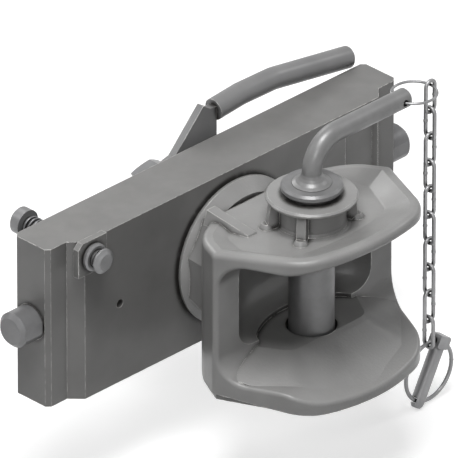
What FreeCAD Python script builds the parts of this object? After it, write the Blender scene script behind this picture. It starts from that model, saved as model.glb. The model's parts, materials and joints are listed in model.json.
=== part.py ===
import FreeCAD, Part
import os
from math import acos, atan2, cos, hypot, pi, radians, sin, sqrt, tan

# Tractor clevis hitch on a quick height-adjust carriage. All sizes in millimetres.
# Origin: centre of the carriage plate's back face, on the swivel axis.
# +X to the right seen from the towing side, +Y towards the tractor, +Z up.

V = FreeCAD.Vector
X_DIR = V(1, 0, 0)
Y_DIR = V(0, 1, 0)
Z_DIR = V(0, 0, 1)

# Clearances
RUN = 0.05            # radial running fit
GAP = 0.3             # between faces that move past each other
FACE_GAP = 0.2        # between flat faces that turn on each other

# Carriage plate
PLATE_W = 329.0
PLATE_H = 120.0
RAIL_T = 32.0         # thickness of the guide rails at both ends
FACE_STEP = 8.6       # how far the middle stands in front of the rails
RAIL_FLAT = 17.5      # width of the rail's front, to the foot of the slope
RAIL_CHAMFER = 3.0
GROOVE_W = 30.5       # shallow upright groove right of the jaw
GROOVE_DEPTH = 2.7
GROOVE_FROM_END = 27.2
GROOVE_FROM_TOP = 12.0
GROOVE_X = PLATE_W / 2 - GROOVE_FROM_END - GROOVE_W
GROOVE_TOP = PLATE_H / 2 - GROOVE_FROM_TOP
GREASE_HOLE_R = 3.0
GREASE_FROM_END = 58.5
GREASE_HOLE_X = PLATE_W / 2 - GREASE_FROM_END
PLATE_FRONT = -(RAIL_T + FACE_STEP)

# Locking bolts
BOLT_R = 12.5
BOLT_Y = -RAIL_T / 2
BOLT_OUT = 19.3       # how far a bolt stands out of the plate
BOLT_HEAD_L = 71.8
BOLT_TAIL_R = 8.0
BOLT_CHAMFER = 3.0
BOLT_FLAT_DEPTH = 0.8
BOLT_TRAVEL = 20.0
DRIVE_PIN_R = 3.5
DRIVE_PIN_X = 60.0
DRIVE_PIN_WALL = 8.0  # tail left beyond the drive pin
SEAT_RING_T = 4.0
SEAT_RING_X = 66.0
BOLT_SPRING_WIRE = 2.0
BOLT_SPRING_TURNS = 4.0

# Spring-loaded pull pin at the upper left
PULL_FROM_END = 28.7
PULL_FROM_TOP = 9.6
PULL_X = PULL_FROM_END - PLATE_W / 2
PULL_Z = PLATE_H / 2 - PULL_FROM_TOP
PULL_SHAFT_R = 4.0
PULL_HEAD_R = 8.8
PULL_HEAD_FACE_R = 5.8
PULL_NECK_R = 5.2
PULL_HEAD_T = 4.8
PULL_NECK_L = 3.8
GUIDE_R = 9.8
GUIDE_T = 4.0
CLAMP_W = 26.3
CLAMP_H = 25.0
CLAMP_T = 4.8
CLAMP_CORNER = 4.0
PULL_SPRING_L = 15.8
PULL_SPRING_R = 6.0
PULL_SPRING_WIRE = 1.8
PULL_SPRING_TURNS = 4.0
PULL_CAP_R = 9.5
PULL_CAP_T = 8.5

# Swivel: shank, bushes, hub, nut
SHANK_R = 25.0
BUSH_WALL = 3.0
BUSH_L = 15.0
THRUST_WASHER_R = 50.0
THRUST_WASHER_T = 1.2
HUB_SPIGOT_L = 6.0
HUB_FLANGE_R = 35.0
HUB_FLANGE_T = 5.8
HUB_JOURNAL_R = 31.0
CIRCLIP_T = 2.0
CIRCLIP_R = 34.5
CIRCLIP_GROOVE = 1.0
CIRCLIP_MOUTH = 12.0
THREAD_R = 20.0
SWIVEL_WASHER_R = 33.0
SWIVEL_WASHER_T = 4.0
NUT_AF = 62.0
NUT_T = 24.0
NUT_SLOT_W = 6.0
NUT_SLOT_D = 7.0
SPLIT_PIN_R = 2.4
SPLIT_LEG_L = 12.0
SHANK_END_L = 2.0     # thread standing past the nut

# Release lever behind the plate
LEVER_T = 5.6
LEVER_DISC_R = 54.0
LEVER_LOBE_R = 12.0
LEVER_LOBE_FILLET = 8.0
LEVER_TURN = 40.0     # degrees from locked to released
ARM_EDGE_X = 31.5
ARM_ROOT = (-8.0, 54.0)
ARM_TIP = (19.0, 82.0)
ARM_TIP_LOW = (25.5, 77.5)
BAR_R = 7.75
BAR_Y = 9.0
BAR_PATH = ((56.0, 75.5, 30.0), (87.0, 75.0, 45.0))
BAR_START_Z = 73.3
BAR_END = (160.0, 63.0)
BAR_END_CHAMFER = 2.0

# Cast jaw; plan sizes are measured from the coupling pin's axis
PIN_Y = -114.7
JAW_TOP = 55.3        # rim height beside the widest corner
JAW_TOP_SLOPE = 0.08  # the rim climbs towards the front
JAW_PLAN = ((41.0, 50.0, 14.0), (72.5, 34.0, 38.0), (84.0, 9.0, 4.0), (56.0, -51.6, 36.0))
JAW_FRONT_R = 140.0
FRONT_SHARE = 0.663   # how much of each front edge its arc takes up
JAW_BEAD_R = 4.0
JAW_UNDERSIDE = (
    (52.0, -36.0), (36.0, -43.5), (27.5, -51.0), (9.0, -51.5), (-37.0, -56.0), (-70.0, -60.0),
)
UNDERSIDE_R = 12.0
CUT_PAST = 20.0       # how far a cutting shape runs past what it cuts
RIM_W = 7.5
RECESS_FLOOR = 49.6
RECESS_PLAN = ((34.0, 36.0, 8.0), (56.0, 24.0, 12.0), (60.0, 6.0, 5.0), (46.5, -23.3, 8.0))
RECESS_FILLET = 2.5
RECESS_OPEN = 43.0    # half width of the gap in the rim, at the neck
MOUTH_BACK = 6.0
MOUTH_R = 18.0
MOUTH_TOP = 47.0
MOUTH_FLOOR = -42.0
MOUTH_LIP = -37.0     # in front of this the mouth opens wider
MOUTH_LIP_R = 25.0
MOUTH_LIP_RISE = 0.25
MOUTH_LIP_DROP = 0.42
MOUTH_EDGE_R = 3.0
THROAT_A = 63.0       # half width of the oval throat
THROAT_B = 44.0       # its depth behind the pin
THROAT_TOP = 42.0
THROAT_FILLET = 14.0
OVAL_END_SHARE = 0.68  # the oval's end radius against its half depth
LEDGE_Z = -25.7
PAD_Z = -28.7
PAD_OVAL_A = 44.5
PAD_OVAL_B = 26.5
PAD_CHAMFER = 4.0
PAD_PLAN = ((30.0, 34.0, 8.0), (54.0, 24.0, 12.0), (52.0, 5.0, 6.0), (37.0, -20.6, 14.0))
GUIDE_LIP_Z = (-42.0, -42.0, -38.5, -48.8, -53.6)   # where its slopes meet the lip, back to front
GUIDE_BASE_Z = -57.0
LOWER_HOLE_R = 17.5
TOP_RIB_BACK = (46.0, 48.8)
TOP_RIB_FRONT = (40.6, 13.6)
TOP_RIB_W = 14.0
TOP_RIB_H = 9.5
TOP_RIB_CREST = 0.55  # the crest's share of the width
BOSS_R = 23.0
BOSS_FLARE = 3.0
BOSS_TOP = 71.8
DISC_R = 31.0
DISC_T = 3.6
BOSS_RIB_ANGLE = 31.0
BOSS_RIB_T = 6.4
BOSS_RIB_FOOT = 36.0
BOSS_RIB_TOP = 29.0
BOSS_FOOT_R = 5.0
BOSS_FOOT_H = 3.2
NECK_FRONT = ((40.0, 46.0), (52.0, 15.0), (52.0, -18.0), (30.0, -38.0))
NECK_SINK = 6.0       # how far the neck runs into the jaw
NECK_R = 50.5
FLANGE_R = 53.0
FLANGE_T = 3.4
FLANGE_CONE_W = 7.5   # the cone that leads from the neck out to the flange's rim
FLANGE_CONE_L = 8.0

# Coupling pin and its handle
PIN_R = 15.5
PIN_BOTTOM = -84.0
PIN_CHAMFER = 4.0
PIN_CROSS_R = 5.6
PIN_CROSS_Z = -72.0
COLLAR_R = 20.9
COLLAR_T = 5.6
COLLAR_NECK = 2.2
COLLAR_NECK_R = 17.5
COLLAR_ROUND = 1.6
HANDLE_R = 6.8
HANDLE_CONE_R = 13.4
HANDLE_CONE_H = 7.0
HANDLE_CONE_STEPS = (2.6, 4.6, 5.9)   # how far in the foot's flare has come at each bend
HANDLE_SOCKET_R = 5.0
HANDLE_SOCKET_L = 7.0
HANDLE_Z = 109.5
HANDLE_BEND_R = 23.0
HANDLE_END_X = 89.0
HANDLE_END_CHAMFER = 1.5
HANDLE_HOLE_X = 81.2
HANDLE_HOLE_R = 2.5

# Handle ring, chain and linch pin
WIRE_SIDES = 8
FLAT_ENOUGH = 1e-9
RING_STEPS = 32
COIL_STEPS = 14       # per turn
LINK_STEPS = 6        # per rounded end
RING_R = 15.3
RING_WIRE_R = 1.0
LINK_WIRE_R = 1.5
LINK_PITCH = 20.14
LINK_HALF_W = 4.1     # from the link's middle to its wire's centre
LINK_COUNT = 10
LINCH_RING_R = 21.7
LINCH_WIRE_R = 1.5
LINCH_TILT = 28.0     # degrees from upright
LINCH_R = 4.8
LINCH_TIP_PAST = 4.5
LINCH_HEAD_W = 11.0
LINCH_HEAD_H = 9.0
LINCH_HEAD_T = 10.0
LINCH_HOLE_R = 2.6


def box(x0, x1, y0, y1, z0, z1):
    """A box between two corners."""
    return Part.makeBox(x1 - x0, y1 - y0, z1 - z0, V(x0, y0, z0))


def rod(radius, start, end):
    """A round bar from one point to another."""
    axis = end.sub(start)
    return Part.makeCylinder(radius, axis.Length, start, axis)


def ring_y(outer, inner, y0, y1):
    """A flat ring about the swivel axis."""
    body = rod(outer, V(0, y0, 0), V(0, y1, 0))
    return body.cut(rod(inner, V(0, y0 - 1, 0), V(0, y1 + 1, 0)))


def wire_of(points):
    """A closed polygon."""
    return Part.makePolygon(list(points) + [points[0]])


def rounded(points, place):
    """A closed outline of (a, b, corner radius); place turns (a, b) into a point in space."""
    edges = []
    count = len(points)
    ends = []
    for i, (a, b, radius) in enumerate(points):
        before = points[i - 1]
        after = points[(i + 1) % count]
        back = (before[0] - a, before[1] - b)
        ahead = (after[0] - a, after[1] - b)
        back_len = hypot(*back)
        ahead_len = hypot(*ahead)
        u = (back[0] / back_len, back[1] / back_len)
        w = (ahead[0] / ahead_len, ahead[1] / ahead_len)
        half = atan2(abs(u[0] * w[1] - u[1] * w[0]), u[0] * w[0] + u[1] * w[1]) / 2
        if radius <= 0 or half > pi / 2 - 1e-6:
            ends.append(((a, b), None, (a, b)))
            continue
        run = radius / tan(half)
        first = (a + u[0] * run, b + u[1] * run)
        last = (a + w[0] * run, b + w[1] * run)
        mid_dir = (u[0] + w[0], u[1] + w[1])
        mid_len = hypot(*mid_dir)
        reach = radius / sin(half) - radius
        middle = (a + mid_dir[0] / mid_len * reach, b + mid_dir[1] / mid_len * reach)
        ends.append((first, middle, last))
    for i, (first, middle, last) in enumerate(ends):
        if middle:
            edges.append(Part.Arc(place(*first), place(*middle), place(*last)).toShape())
        start = ends[(i + 1) % count][0]
        if hypot(start[0] - last[0], start[1] - last[1]) > 1e-6:
            edges.append(Part.LineSegment(place(*last), place(*start)).toShape())
    return Part.Wire(edges)


def mirrored(half, front=None):
    """A whole plan outline from its right half, back to front, with an optional middle point."""
    right = list(half)
    if front:
        right.append(front)
    left = [(-a, b, radius) for a, b, radius in reversed(half)]
    return right + left


def inset(points, distance):
    """A clockwise outline moved inwards by a distance, corner radii included."""
    lines = []
    count = len(points)
    for i in range(count):
        a0, b0, _ = points[i]
        a1, b1, _ = points[(i + 1) % count]
        length = hypot(a1 - a0, b1 - b0)
        normal = ((b1 - b0) / length, -(a1 - a0) / length)
        lines.append((a0 + normal[0] * distance, b0 + normal[1] * distance, a1 - a0, b1 - b0))
    moved = []
    for i in range(count):
        p = lines[i - 1]
        q = lines[i]
        cross = p[2] * q[3] - p[3] * q[2]
        t = ((q[0] - p[0]) * q[3] - (q[1] - p[1]) * q[2]) / cross
        radius = max(points[i][2] - distance, 0.8)
        moved.append((p[0] + p[2] * t, p[1] + p[3] * t, radius))
    return moved


def front_apex(corner):
    """Where two front edges would meet, so that the front's arc takes its share of each."""
    half = acos(FRONT_SHARE * corner[0] / JAW_FRONT_R)
    return (0.0, corner[1] - corner[0] / tan(half), JAW_FRONT_R)


def jaw_front():
    """How far in front of the pin's axis the jaw's two front edges would meet."""
    return front_apex(JAW_PLAN[-1])[1]


def jaw_plan(distance=0.0):
    """The jaw's plan outline, moved inwards by a distance."""
    outline = mirrored(JAW_PLAN, front_apex(JAW_PLAN[-1]))
    return inset(outline, distance) if distance else outline


def plan_wire(points, z):
    """A plan outline about the coupling pin's axis, at a height."""
    return rounded(points, lambda a, b: V(a, PIN_Y + b, z))


def prism(wire, along):
    """A solid pushed out of a flat wire."""
    return Part.Face(wire).extrude(along)


def side_prism(points, half_width):
    """A solid with an outline in the YZ plane, measured from the pin's axis, on both sides of X = 0."""
    wire = rounded(points, lambda a, b: V(-half_width, PIN_Y + a, b))
    return prism(wire, V(2 * half_width, 0, 0))


def turned(points, x=0.0, y=0.0):
    """A solid turned about an upright axis from its (radius, height) outline."""
    wire = wire_of([V(x + r, y, z) for r, z in points])
    return Part.Face(wire).revolve(V(x, y, 0), Z_DIR, 360)


def turned_y(points, x=0.0, z=0.0):
    """A solid turned about an axis along Y from its (radius, y) outline."""
    wire = wire_of([V(x + r, y, z) for r, y in points])
    return Part.Face(wire).revolve(V(x, 0, z), Y_DIR, 360)


def oval(a, b, z0, z1):
    """An upright oval column about the coupling pin's axis, from four arcs that meet smoothly."""
    end_r = b * OVAL_END_SHARE
    end_x = a - end_r
    drop = (end_x ** 2 - (b - end_r) ** 2) / (2 * (b - end_r))
    reach = end_r / hypot(end_x, drop)
    px = end_x + end_x * reach
    py = drop * reach
    stations = [(-px, py), (0, b), (px, py), (a, 0), (px, -py), (0, -b), (-px, -py), (-a, 0), (-px, py)]
    points = [V(x, PIN_Y + y, z0) for x, y in stations]
    arcs = [Part.Arc(*points[i:i + 3]).toShape() for i in (0, 2, 4, 6)]
    return prism(Part.Wire(arcs), V(0, 0, z1 - z0))


def skinned(sections, closed):
    """A solid with flat faces between cross-sections that all have the same number of corners."""
    faces = [] if closed else [Part.Face(wire_of(sections[0])), Part.Face(wire_of(sections[-1]))]
    following = sections[1:] + (sections[:1] if closed else [])
    for first, second in zip(sections, following):
        for k in range(len(first)):
            a, b, c, d = first[k - 1], first[k], second[k], second[k - 1]
            flat = abs(b.sub(a).cross(d.sub(a)).dot(c.sub(a))) < FLAT_ENOUGH
            corners = [(a, b, c, d)] if flat else [(a, b, c), (a, c, d)]
            faces += [Part.Face(wire_of(points)) for points in corners]
    shell = Part.makeShell(faces)
    shell.sewShape()
    solid = Part.Solid(shell)
    return solid if solid.Volume > 0 else solid.reversed()


def wire_bar(radius, path, normal, closed=False):
    """A thin wire along a path that bends about a normal, many-sided so that it stays light."""
    sections = []
    last = len(path) - 1
    for i, here in enumerate(path):
        back = path[i - 1] if closed or i > 0 else here
        ahead = path[(i + 1) % len(path)] if closed or i < last else here
        heading = ahead.sub(back).normalize()
        bend = ahead.sub(here).getAngle(here.sub(back)) if back != here and ahead != here else 0.0
        outward = heading.cross(normal).normalize()
        upward = outward.cross(heading)
        outward.multiply(radius / cos(bend / 2))
        upward.multiply(radius)
        corners = []
        for k in range(WIRE_SIDES):
            angle = 2 * pi * (k + 0.5) / WIRE_SIDES
            corners.append(here.add(V(outward).multiply(cos(angle))).add(V(upward).multiply(sin(angle))))
        sections.append(corners)
    return skinned(sections, closed)


def arc_points(centre, radius, first, second, start, end, steps):
    """Points round a centre between two angles, in the plane of two unit directions."""
    points = []
    for i in range(steps + 1):
        angle = radians(start + (end - start) * i / steps)
        side = V(first).multiply(radius * cos(angle))
        points.append(centre.add(side).add(V(second).multiply(radius * sin(angle))))
    return points


def wire_ring(radius, wire_r, centre, first, second):
    """A closed wire ring in the plane of two unit directions."""
    path = arc_points(centre, radius, first, second, 0.0, 360.0, RING_STEPS)[:-1]
    return wire_bar(wire_r, path, first.cross(second), True)


def coil(radius, wire_r, length, turns, start, axis):
    """A compression spring along an axis."""
    count = int(turns * COIL_STEPS)
    rise = (length - 2 * wire_r) / count
    path = []
    for i in range(count + 1):
        angle = 2 * pi * i / COIL_STEPS
        path.append(V(radius * cos(angle), radius * sin(angle), wire_r + rise * i))
    spring = wire_bar(wire_r, path, Z_DIR)
    spring.Placement = FreeCAD.Placement(start, FreeCAD.Rotation(Z_DIR, axis)).multiply(spring.Placement)
    return spring


def bent_bar(radius, points):
    """A round bar along (point, bend radius) stations: straight runs joined by tangent arcs."""
    edges = []
    here = points[0][0]
    for i in range(1, len(points) - 1):
        corner, bend = points[i]
        back = points[i - 1][0].sub(corner).normalize()
        ahead = points[i + 1][0].sub(corner).normalize()
        half = back.getAngle(ahead) / 2
        run = bend / tan(half)
        first = corner.add(V(back).multiply(run))
        last = corner.add(V(ahead).multiply(run))
        inward = back.add(ahead).normalize()
        middle = corner.add(V(inward).multiply(bend / sin(half) - bend))
        edges.append(Part.LineSegment(here, first).toShape())
        edges.append(Part.Arc(first, middle, last).toShape())
        here = last
    edges.append(Part.LineSegment(here, points[-1][0]).toShape())
    start = points[0][0]
    heading = points[1][0].sub(start)
    section = Part.Wire(Part.makeCircle(radius, start, heading))
    return Part.Wire(edges).makePipeShell([section], True, False)


def carrier_plate():
    """The guide plate: rails at both ends, proud middle, and all its bores."""
    half = PLATE_W / 2
    c = RAIL_CHAMFER
    foot = half - RAIL_FLAT
    brow = foot - FACE_STEP
    right = [
        (half - c, 0.0), (half, -c), (half, -RAIL_T + c), (half - c, -RAIL_T),
        (foot, -RAIL_T), (brow, PLATE_FRONT),
    ]
    left = [(-x, y) for x, y in reversed(right)]
    bottom = -PLATE_H / 2
    outline = wire_of([V(x, y, bottom) for x, y in right + left])
    plate = prism(outline, V(0, 0, PLATE_H))
    groove_end = GROOVE_X + GROOVE_W
    groove = [
        (GROOVE_X, PLATE_FRONT - 1), (GROOVE_X, PLATE_FRONT + GROOVE_DEPTH),
        (groove_end - GROOVE_DEPTH, PLATE_FRONT + GROOVE_DEPTH),
        (groove_end, PLATE_FRONT), (groove_end, PLATE_FRONT - 1),
    ]
    groove_wire = wire_of([V(x, y, bottom - 1) for x, y in groove])
    plate = plate.cut(prism(groove_wire, V(0, 0, GROOVE_TOP - bottom + 1)))
    plate = plate.cut(rod(SHANK_R + BUSH_WALL, V(0, PLATE_FRONT - 1, 0), V(0, 1, 0)))
    for side in (-1, 1):
        plate = plate.cut(rod(BOLT_R + RUN, V(0, BOLT_Y, 0), V(side * (half + 1), BOLT_Y, 0)))
        inner = DRIVE_PIN_X - BOLT_TRAVEL
        window = box(inner, DRIVE_PIN_X, BOLT_Y, 1, -DRIVE_PIN_R - GAP, DRIVE_PIN_R + GAP)
        for x in (inner, DRIVE_PIN_X):
            window = window.fuse(rod(DRIVE_PIN_R + GAP, V(x, BOLT_Y, 0), V(x, 1, 0)))
        if side < 0:
            window = window.mirror(V(0, 0, 0), X_DIR)
        plate = plate.cut(window)
        hole_x = side * GREASE_HOLE_X
        plate = plate.cut(rod(GREASE_HOLE_R, V(hole_x, PLATE_FRONT - 1, 0), V(hole_x, BOLT_Y, 0)))
    pull = rod(PULL_SHAFT_R + RUN, V(PULL_X, PLATE_FRONT - 1, PULL_Z), V(PULL_X, 1, PULL_Z))
    return plate.cut(pull).removeSplitter()


def locking_bolt(side):
    """A bolt that locks the carriage in the tractor's guide rails."""
    end = PLATE_W / 2 + BOLT_OUT
    neck = end - BOLT_HEAD_L
    inner = DRIVE_PIN_X - DRIVE_PIN_WALL
    head = rod(BOLT_R, V(neck, BOLT_Y, 0), V(end - BOLT_CHAMFER, BOLT_Y, 0))
    tip_start = V(end - BOLT_CHAMFER, BOLT_Y, 0)
    tip = Part.makeCone(BOLT_R, BOLT_R - BOLT_CHAMFER, BOLT_CHAMFER, tip_start, X_DIR)
    bolt = head.fuse(tip).fuse(rod(BOLT_TAIL_R, V(inner, BOLT_Y, 0), V(neck + 1, BOLT_Y, 0)))
    flat_y = BOLT_Y - BOLT_R + BOLT_FLAT_DEPTH
    flat = box(neck + BOLT_TRAVEL, end + 1, flat_y - 5, flat_y, -BOLT_R, BOLT_R)
    bolt = bolt.cut(flat)
    across = rod(DRIVE_PIN_R, V(DRIVE_PIN_X, BOLT_Y - BOLT_R, 0), V(DRIVE_PIN_X, 0, 0))
    bolt = bolt.cut(across).removeSplitter()
    return bolt if side > 0 else bolt.mirror(V(0, 0, 0), X_DIR)


def drive_pin(side):
    """The pin that the release lever's slot pushes; it stands across the bolt's tail."""
    lever_back = HUB_FLANGE_T + FACE_GAP + LEVER_T
    x = side * DRIVE_PIN_X
    return rod(DRIVE_PIN_R, V(x, BOLT_Y - BOLT_TAIL_R + 1, 0), V(x, lever_back, 0))


def spring_seat(side):
    """The ring in the bore that the bolt's spring pushes against."""
    x0 = side * SEAT_RING_X
    x1 = side * (SEAT_RING_X + SEAT_RING_T)
    ring = rod(BOLT_R + RUN, V(x0, BOLT_Y, 0), V(x1, BOLT_Y, 0))
    return ring.cut(rod(BOLT_TAIL_R + GAP, V(x0 - side, BOLT_Y, 0), V(x1 + side, BOLT_Y, 0)))


def bolt_spring(side):
    """The spring that pushes a locking bolt out."""
    start = SEAT_RING_X + SEAT_RING_T
    length = PLATE_W / 2 + BOLT_OUT - BOLT_HEAD_L - start - GAP
    radius = (BOLT_R + BOLT_TAIL_R) / 2
    axis = V(side, 0, 0)
    seat = V(side * start, BOLT_Y, 0)
    return coil(radius, BOLT_SPRING_WIRE / 2, length, BOLT_SPRING_TURNS, seat, axis)


def clamp_plate():
    """The small square plate that carries the pull pin's guide."""
    x0 = PULL_X - CLAMP_W / 2
    x1 = PULL_X + CLAMP_W / 2
    z0 = PULL_Z - CLAMP_H / 2
    z1 = PULL_Z + CLAMP_H / 2
    points = [(x0, z0), (x1, z0), (x1, z1), (x0 + CLAMP_CORNER, z1), (x0, z1 - CLAMP_CORNER)]
    plate = prism(wire_of([V(x, PLATE_FRONT, z) for x, z in points]), V(0, -CLAMP_T, 0))
    front = PLATE_FRONT - CLAMP_T
    bore = rod(PULL_SHAFT_R + RUN, V(PULL_X, PLATE_FRONT + 1, PULL_Z), V(PULL_X, front - 1, PULL_Z))
    return plate.cut(bore)


def pull_guide():
    """The rounded collar that the pull pin slides in."""
    back = PLATE_FRONT - CLAMP_T
    inner = PULL_SHAFT_R + RUN
    points = [
        (inner, back), (GUIDE_R - 0.6, back), (GUIDE_R, back - 0.8), (GUIDE_R, back - GUIDE_T + 1.0),
        (GUIDE_R - 1.2, back - GUIDE_T), (inner, back - GUIDE_T),
    ]
    return turned_y(points, PULL_X, PULL_Z)


def pull_knob():
    """The mushroom knob with its shaft through the plate."""
    seat = PLATE_FRONT - CLAMP_T - GUIDE_T - FACE_GAP
    under = seat - PULL_NECK_L
    front = under - PULL_HEAD_T
    groove = PULL_NECK_L / 3
    back = PULL_SPRING_L + PULL_CAP_T
    points = [
        (0, back), (PULL_SHAFT_R, back), (PULL_SHAFT_R, seat), (PULL_NECK_R + 0.8, seat),
        (PULL_NECK_R + 0.8, seat - groove), (PULL_NECK_R, seat - groove), (PULL_NECK_R, under + groove),
        (PULL_HEAD_R - 1.4, under), (PULL_HEAD_R, under - 1.2), (PULL_HEAD_R, under - 2.4),
        (PULL_HEAD_R - 1.4, front + 1.4), (PULL_HEAD_FACE_R, front), (0, front),
    ]
    return turned_y(points, PULL_X, PULL_Z)


def pull_cap():
    """The cap that keeps the spring on the pull pin's shaft."""
    y0 = PULL_SPRING_L
    y1 = y0 + PULL_CAP_T
    points = [
        (PULL_SHAFT_R, y0), (PULL_CAP_R, y0), (PULL_CAP_R, y1 - 1.2), (PULL_CAP_R - 1.2, y1),
        (PULL_SHAFT_R, y1),
    ]
    return turned_y(points, PULL_X, PULL_Z)


def pull_spring():
    """The spring behind the plate that draws the pull pin back."""
    start = V(PULL_X, GAP / 2, PULL_Z)
    return coil(PULL_SPRING_R, PULL_SPRING_WIRE / 2, PULL_SPRING_L - GAP, PULL_SPRING_TURNS, start, Y_DIR)


def swivel_bush(y0, y1):
    """A plain bush between the shank and the plate."""
    return ring_y(SHANK_R + BUSH_WALL, SHANK_R + RUN, y0, y1)


def thrust_washer():
    """The washer between the jaw's flange and the plate."""
    return ring_y(THRUST_WASHER_R, SHANK_R + 2 * GAP, PLATE_FRONT - THRUST_WASHER_T, PLATE_FRONT)


def lever_hub():
    """The turned hub behind the plate that the release lever turns on."""
    journal_end = hub_end()
    clip = hub_clip_y()
    bore = SHANK_R + 2 * GAP
    points = [
        (bore, -HUB_SPIGOT_L), (SHANK_R + BUSH_WALL, -HUB_SPIGOT_L), (SHANK_R + BUSH_WALL, 0),
        (HUB_FLANGE_R, 0), (HUB_FLANGE_R, HUB_FLANGE_T), (HUB_JOURNAL_R, HUB_FLANGE_T),
        (HUB_JOURNAL_R, clip), (HUB_JOURNAL_R - CIRCLIP_GROOVE, clip),
        (HUB_JOURNAL_R - CIRCLIP_GROOVE, clip + CIRCLIP_T), (HUB_JOURNAL_R, clip + CIRCLIP_T),
        (HUB_JOURNAL_R, journal_end), (bore, journal_end),
    ]
    return turned_y(points)


def hub_clip_y():
    """Where the retaining ring's groove starts."""
    return HUB_FLANGE_T + LEVER_T + 2 * FACE_GAP


def hub_end():
    """The hub's rear face."""
    return hub_clip_y() + CIRCLIP_T + 1.0


def lever_circlip():
    """The retaining ring that keeps the release lever on its hub."""
    clip = hub_clip_y()
    ring = ring_y(CIRCLIP_R, HUB_JOURNAL_R - CIRCLIP_GROOVE, clip, clip + CIRCLIP_T)
    half = CIRCLIP_MOUTH / 2
    return ring.cut(box(-half, half, clip - 1, clip + CIRCLIP_T + 1, -CIRCLIP_R - 1, 0))


def cam_slot(side, y0, y1):
    """The spiral slot that turns the lever's swing into the bolt's travel at one steady ratio."""
    half_width = DRIVE_PIN_R + 0.1
    start = 0.0 if side > 0 else pi
    steps = 8
    slope = BOLT_TRAVEL / radians(LEVER_TURN)
    rows = {1: [], -1: []}
    for i in range(steps + 1):
        share = i / steps
        angle = start - radians(LEVER_TURN) * share
        radius = DRIVE_PIN_X - BOLT_TRAVEL * share
        along_x = slope * cos(angle) - radius * sin(angle)
        along_z = slope * sin(angle) + radius * cos(angle)
        along = V(along_x, 0, along_z).normalize()
        across = V(-along.z, 0, along.x)
        centre = V(radius * cos(angle), y0, radius * sin(angle))
        for sign in (1, -1):
            rows[sign].append(centre.add(V(across).multiply(sign * half_width)))
        if i == 0:
            first_cap = centre.add(V(along).multiply(half_width))
        if i == steps:
            last_cap = centre.sub(V(along).multiply(half_width))
    edges = []
    for sign in (1, -1):
        curve = Part.BSplineCurve()
        curve.interpolate(rows[sign])
        edges.append(curve.toShape())
    edges.append(Part.Arc(rows[1][0], first_cap, rows[-1][0]).toShape())
    edges.append(Part.Arc(rows[1][-1], last_cap, rows[-1][-1]).toShape())
    return prism(Part.Wire(Part.__sortEdges__(edges)), V(0, y1 - y0, 0))


def release_lever():
    """The flat lever: a disc with two spiral slots, and the arm that carries the handle bar."""
    y0 = HUB_FLANGE_T + FACE_GAP
    y1 = y0 + LEVER_T
    plate = rod(LEVER_DISC_R, V(0, y0, 0), V(0, y1, 0))
    for side in (-1, 1):
        x = side * DRIVE_PIN_X
        plate = plate.fuse(rod(LEVER_LOBE_R, V(x, y0, 0), V(x, y1, 0)))
    root = LEVER_DISC_R - LEVER_LOBE_R
    arm = [
        ARM_ROOT, ARM_TIP, ARM_TIP_LOW, (ARM_EDGE_X, ARM_TIP_LOW[1] - 0.5), (ARM_EDGE_X, root),
        (-root / 2, root),
    ]
    plate = plate.fuse(prism(wire_of([V(x, y0, z) for x, z in arm]), V(0, y1 - y0, 0)))
    plate = plate.removeSplitter()
    upright = [
        edge for edge in plate.Edges
        if edge.Vertexes[0].Point.distanceToPoint(edge.Vertexes[-1].Point) > LEVER_T - 0.1
        and abs(edge.tangentAt(edge.FirstParameter).y) > 0.99
        and abs(edge.CenterOfMass.x) > DRIVE_PIN_X - 1.2 * LEVER_LOBE_R
    ]
    plate = plate.makeFillet(LEVER_LOBE_FILLET, upright)
    plate = plate.cut(rod(HUB_JOURNAL_R + RUN, V(0, y0 - 1, 0), V(0, y1 + 1, 0)))
    for side in (-1, 1):
        plate = plate.cut(cam_slot(side, y0 - 1, y1 + 1))
    return plate


def lever_bar():
    """The round handle bar welded to the lever's arm."""
    points = [(V(ARM_EDGE_X, BAR_Y, BAR_START_Z), 0)]
    points += [(V(x, BAR_Y, z), bend) for x, z, bend in BAR_PATH]
    points.append((V(BAR_END[0], BAR_Y, BAR_END[1]), 0))
    bar = bent_bar(BAR_R, points)
    end = max(bar.Faces, key=lambda face: face.CenterOfMass.x)
    tip = end.CenterOfMass
    rim = [edge for edge in bar.Edges if edge.isClosed() and edge.CenterOfMass.isEqual(tip, 0.5)]
    return bar.makeChamfer(BAR_END_CHAMFER, rim[:1])


def top_z(b):
    """Height of the jaw's rim at a distance behind the pin's axis."""
    return JAW_TOP + (JAW_PLAN[2][1] - b) * JAW_TOP_SLOPE


def jaw_block():
    """The jaw's outside: plan outline, bead round the climbing top edge and sloping underside."""
    low = min(z for _, z in JAW_UNDERSIDE) - 1
    back = JAW_PLAN[0][1] + CUT_PAST
    front = jaw_front() - CUT_PAST
    half = 2 * JAW_PLAN[2][0]
    high = top_z(front) + CUT_PAST
    block = prism(plan_wire(jaw_plan(), low), V(0, 0, high - low))
    above = [(back, top_z(back), 0), (front, top_z(front), 0), (front, high + 5, 0), (back, high + 5, 0)]
    block = block.cut(side_prism(above, half))
    top_edges = [
        edge for edge in block.Edges
        if all(abs(v.Point.z - top_z(v.Point.y - PIN_Y)) < 1e-5 for v in edge.Vertexes)
    ]
    block = block.makeFillet(JAW_BEAD_R, top_edges)
    first = JAW_UNDERSIDE[0]
    last = JAW_UNDERSIDE[-1]
    under = [(a, b, UNDERSIDE_R) for a, b in JAW_UNDERSIDE[1:-1]]
    below = [(last[0], low - 5, 0), (first[0], low - 5, 0)]
    return block.cut(side_prism([(*first, 0)] + under + [(*last, 0)] + below, half))


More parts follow.
